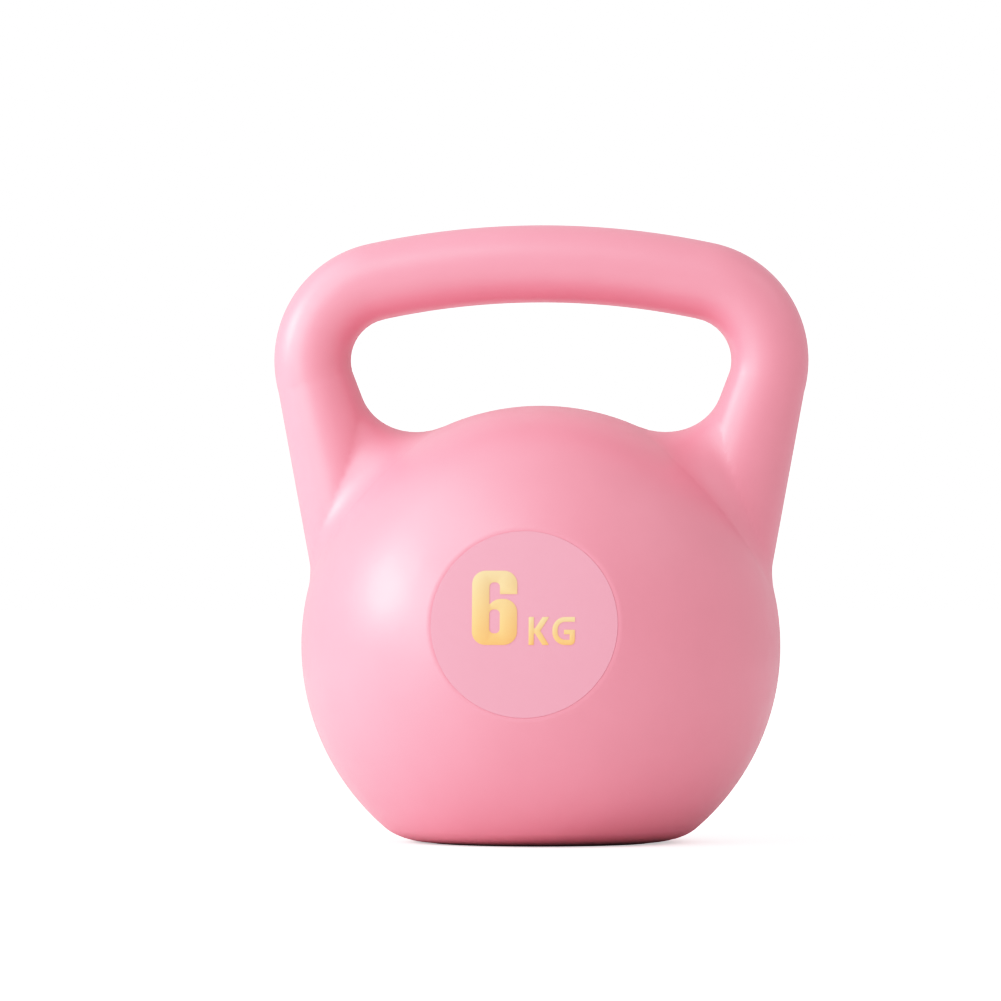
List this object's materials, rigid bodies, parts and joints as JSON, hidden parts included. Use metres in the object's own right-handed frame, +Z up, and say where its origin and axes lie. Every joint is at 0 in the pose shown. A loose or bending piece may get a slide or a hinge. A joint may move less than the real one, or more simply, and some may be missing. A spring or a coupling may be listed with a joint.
{
  "type": "kettlebell",
  "caption": "Filled plastic kettlebell: round ball with a flat foot, a broad arched loop handle and a flat front badge showing its weight.",
  "frame": {"origin": "on the surface it stands on, under the middle of the ball", "axes": "+Z up from the foot to the handle, X along the handle, and the marked front looks along -Y"},
  "size_m": [0.2397, 0.2055, 0.2763],
  "materials": {
    "shell_plastic": "satin pink moulded polyethylene with a soft broad highlight",
    "fill_mortar": "rough grey mortar",
    "tube_steel": "drawn steel, dull",
    "cap_plastic": "dark grey moulded plastic",
    "plug_plastic": "pink moulded plastic, slightly duller than the shell",
    "gasket_rubber": "black sheet rubber",
    "pad_rubber": "dark matt rubber with a fine grain",
    "badge_film": "smooth satin pink, even in tone",
    "gold_foil": "pale gold foil, lighter at the top"
  },
  "bodies": {
    "root": {"shell": "shell_plastic", "fill_core": "fill_mortar", "handle_tube": "tube_steel", "tube_cap_left": "cap_plastic", "tube_cap_right": "cap_plastic", "anchor_bar": "tube_steel", "fill_plug": "plug_plastic", "plug_gasket": "gasket_rubber", "base_pad": "pad_rubber", "weight_badge": "badge_film", "numeral_6": "gold_foil", "letter_k": "gold_foil", "letter_g": "gold_foil"}
  },
  "joints": []
}
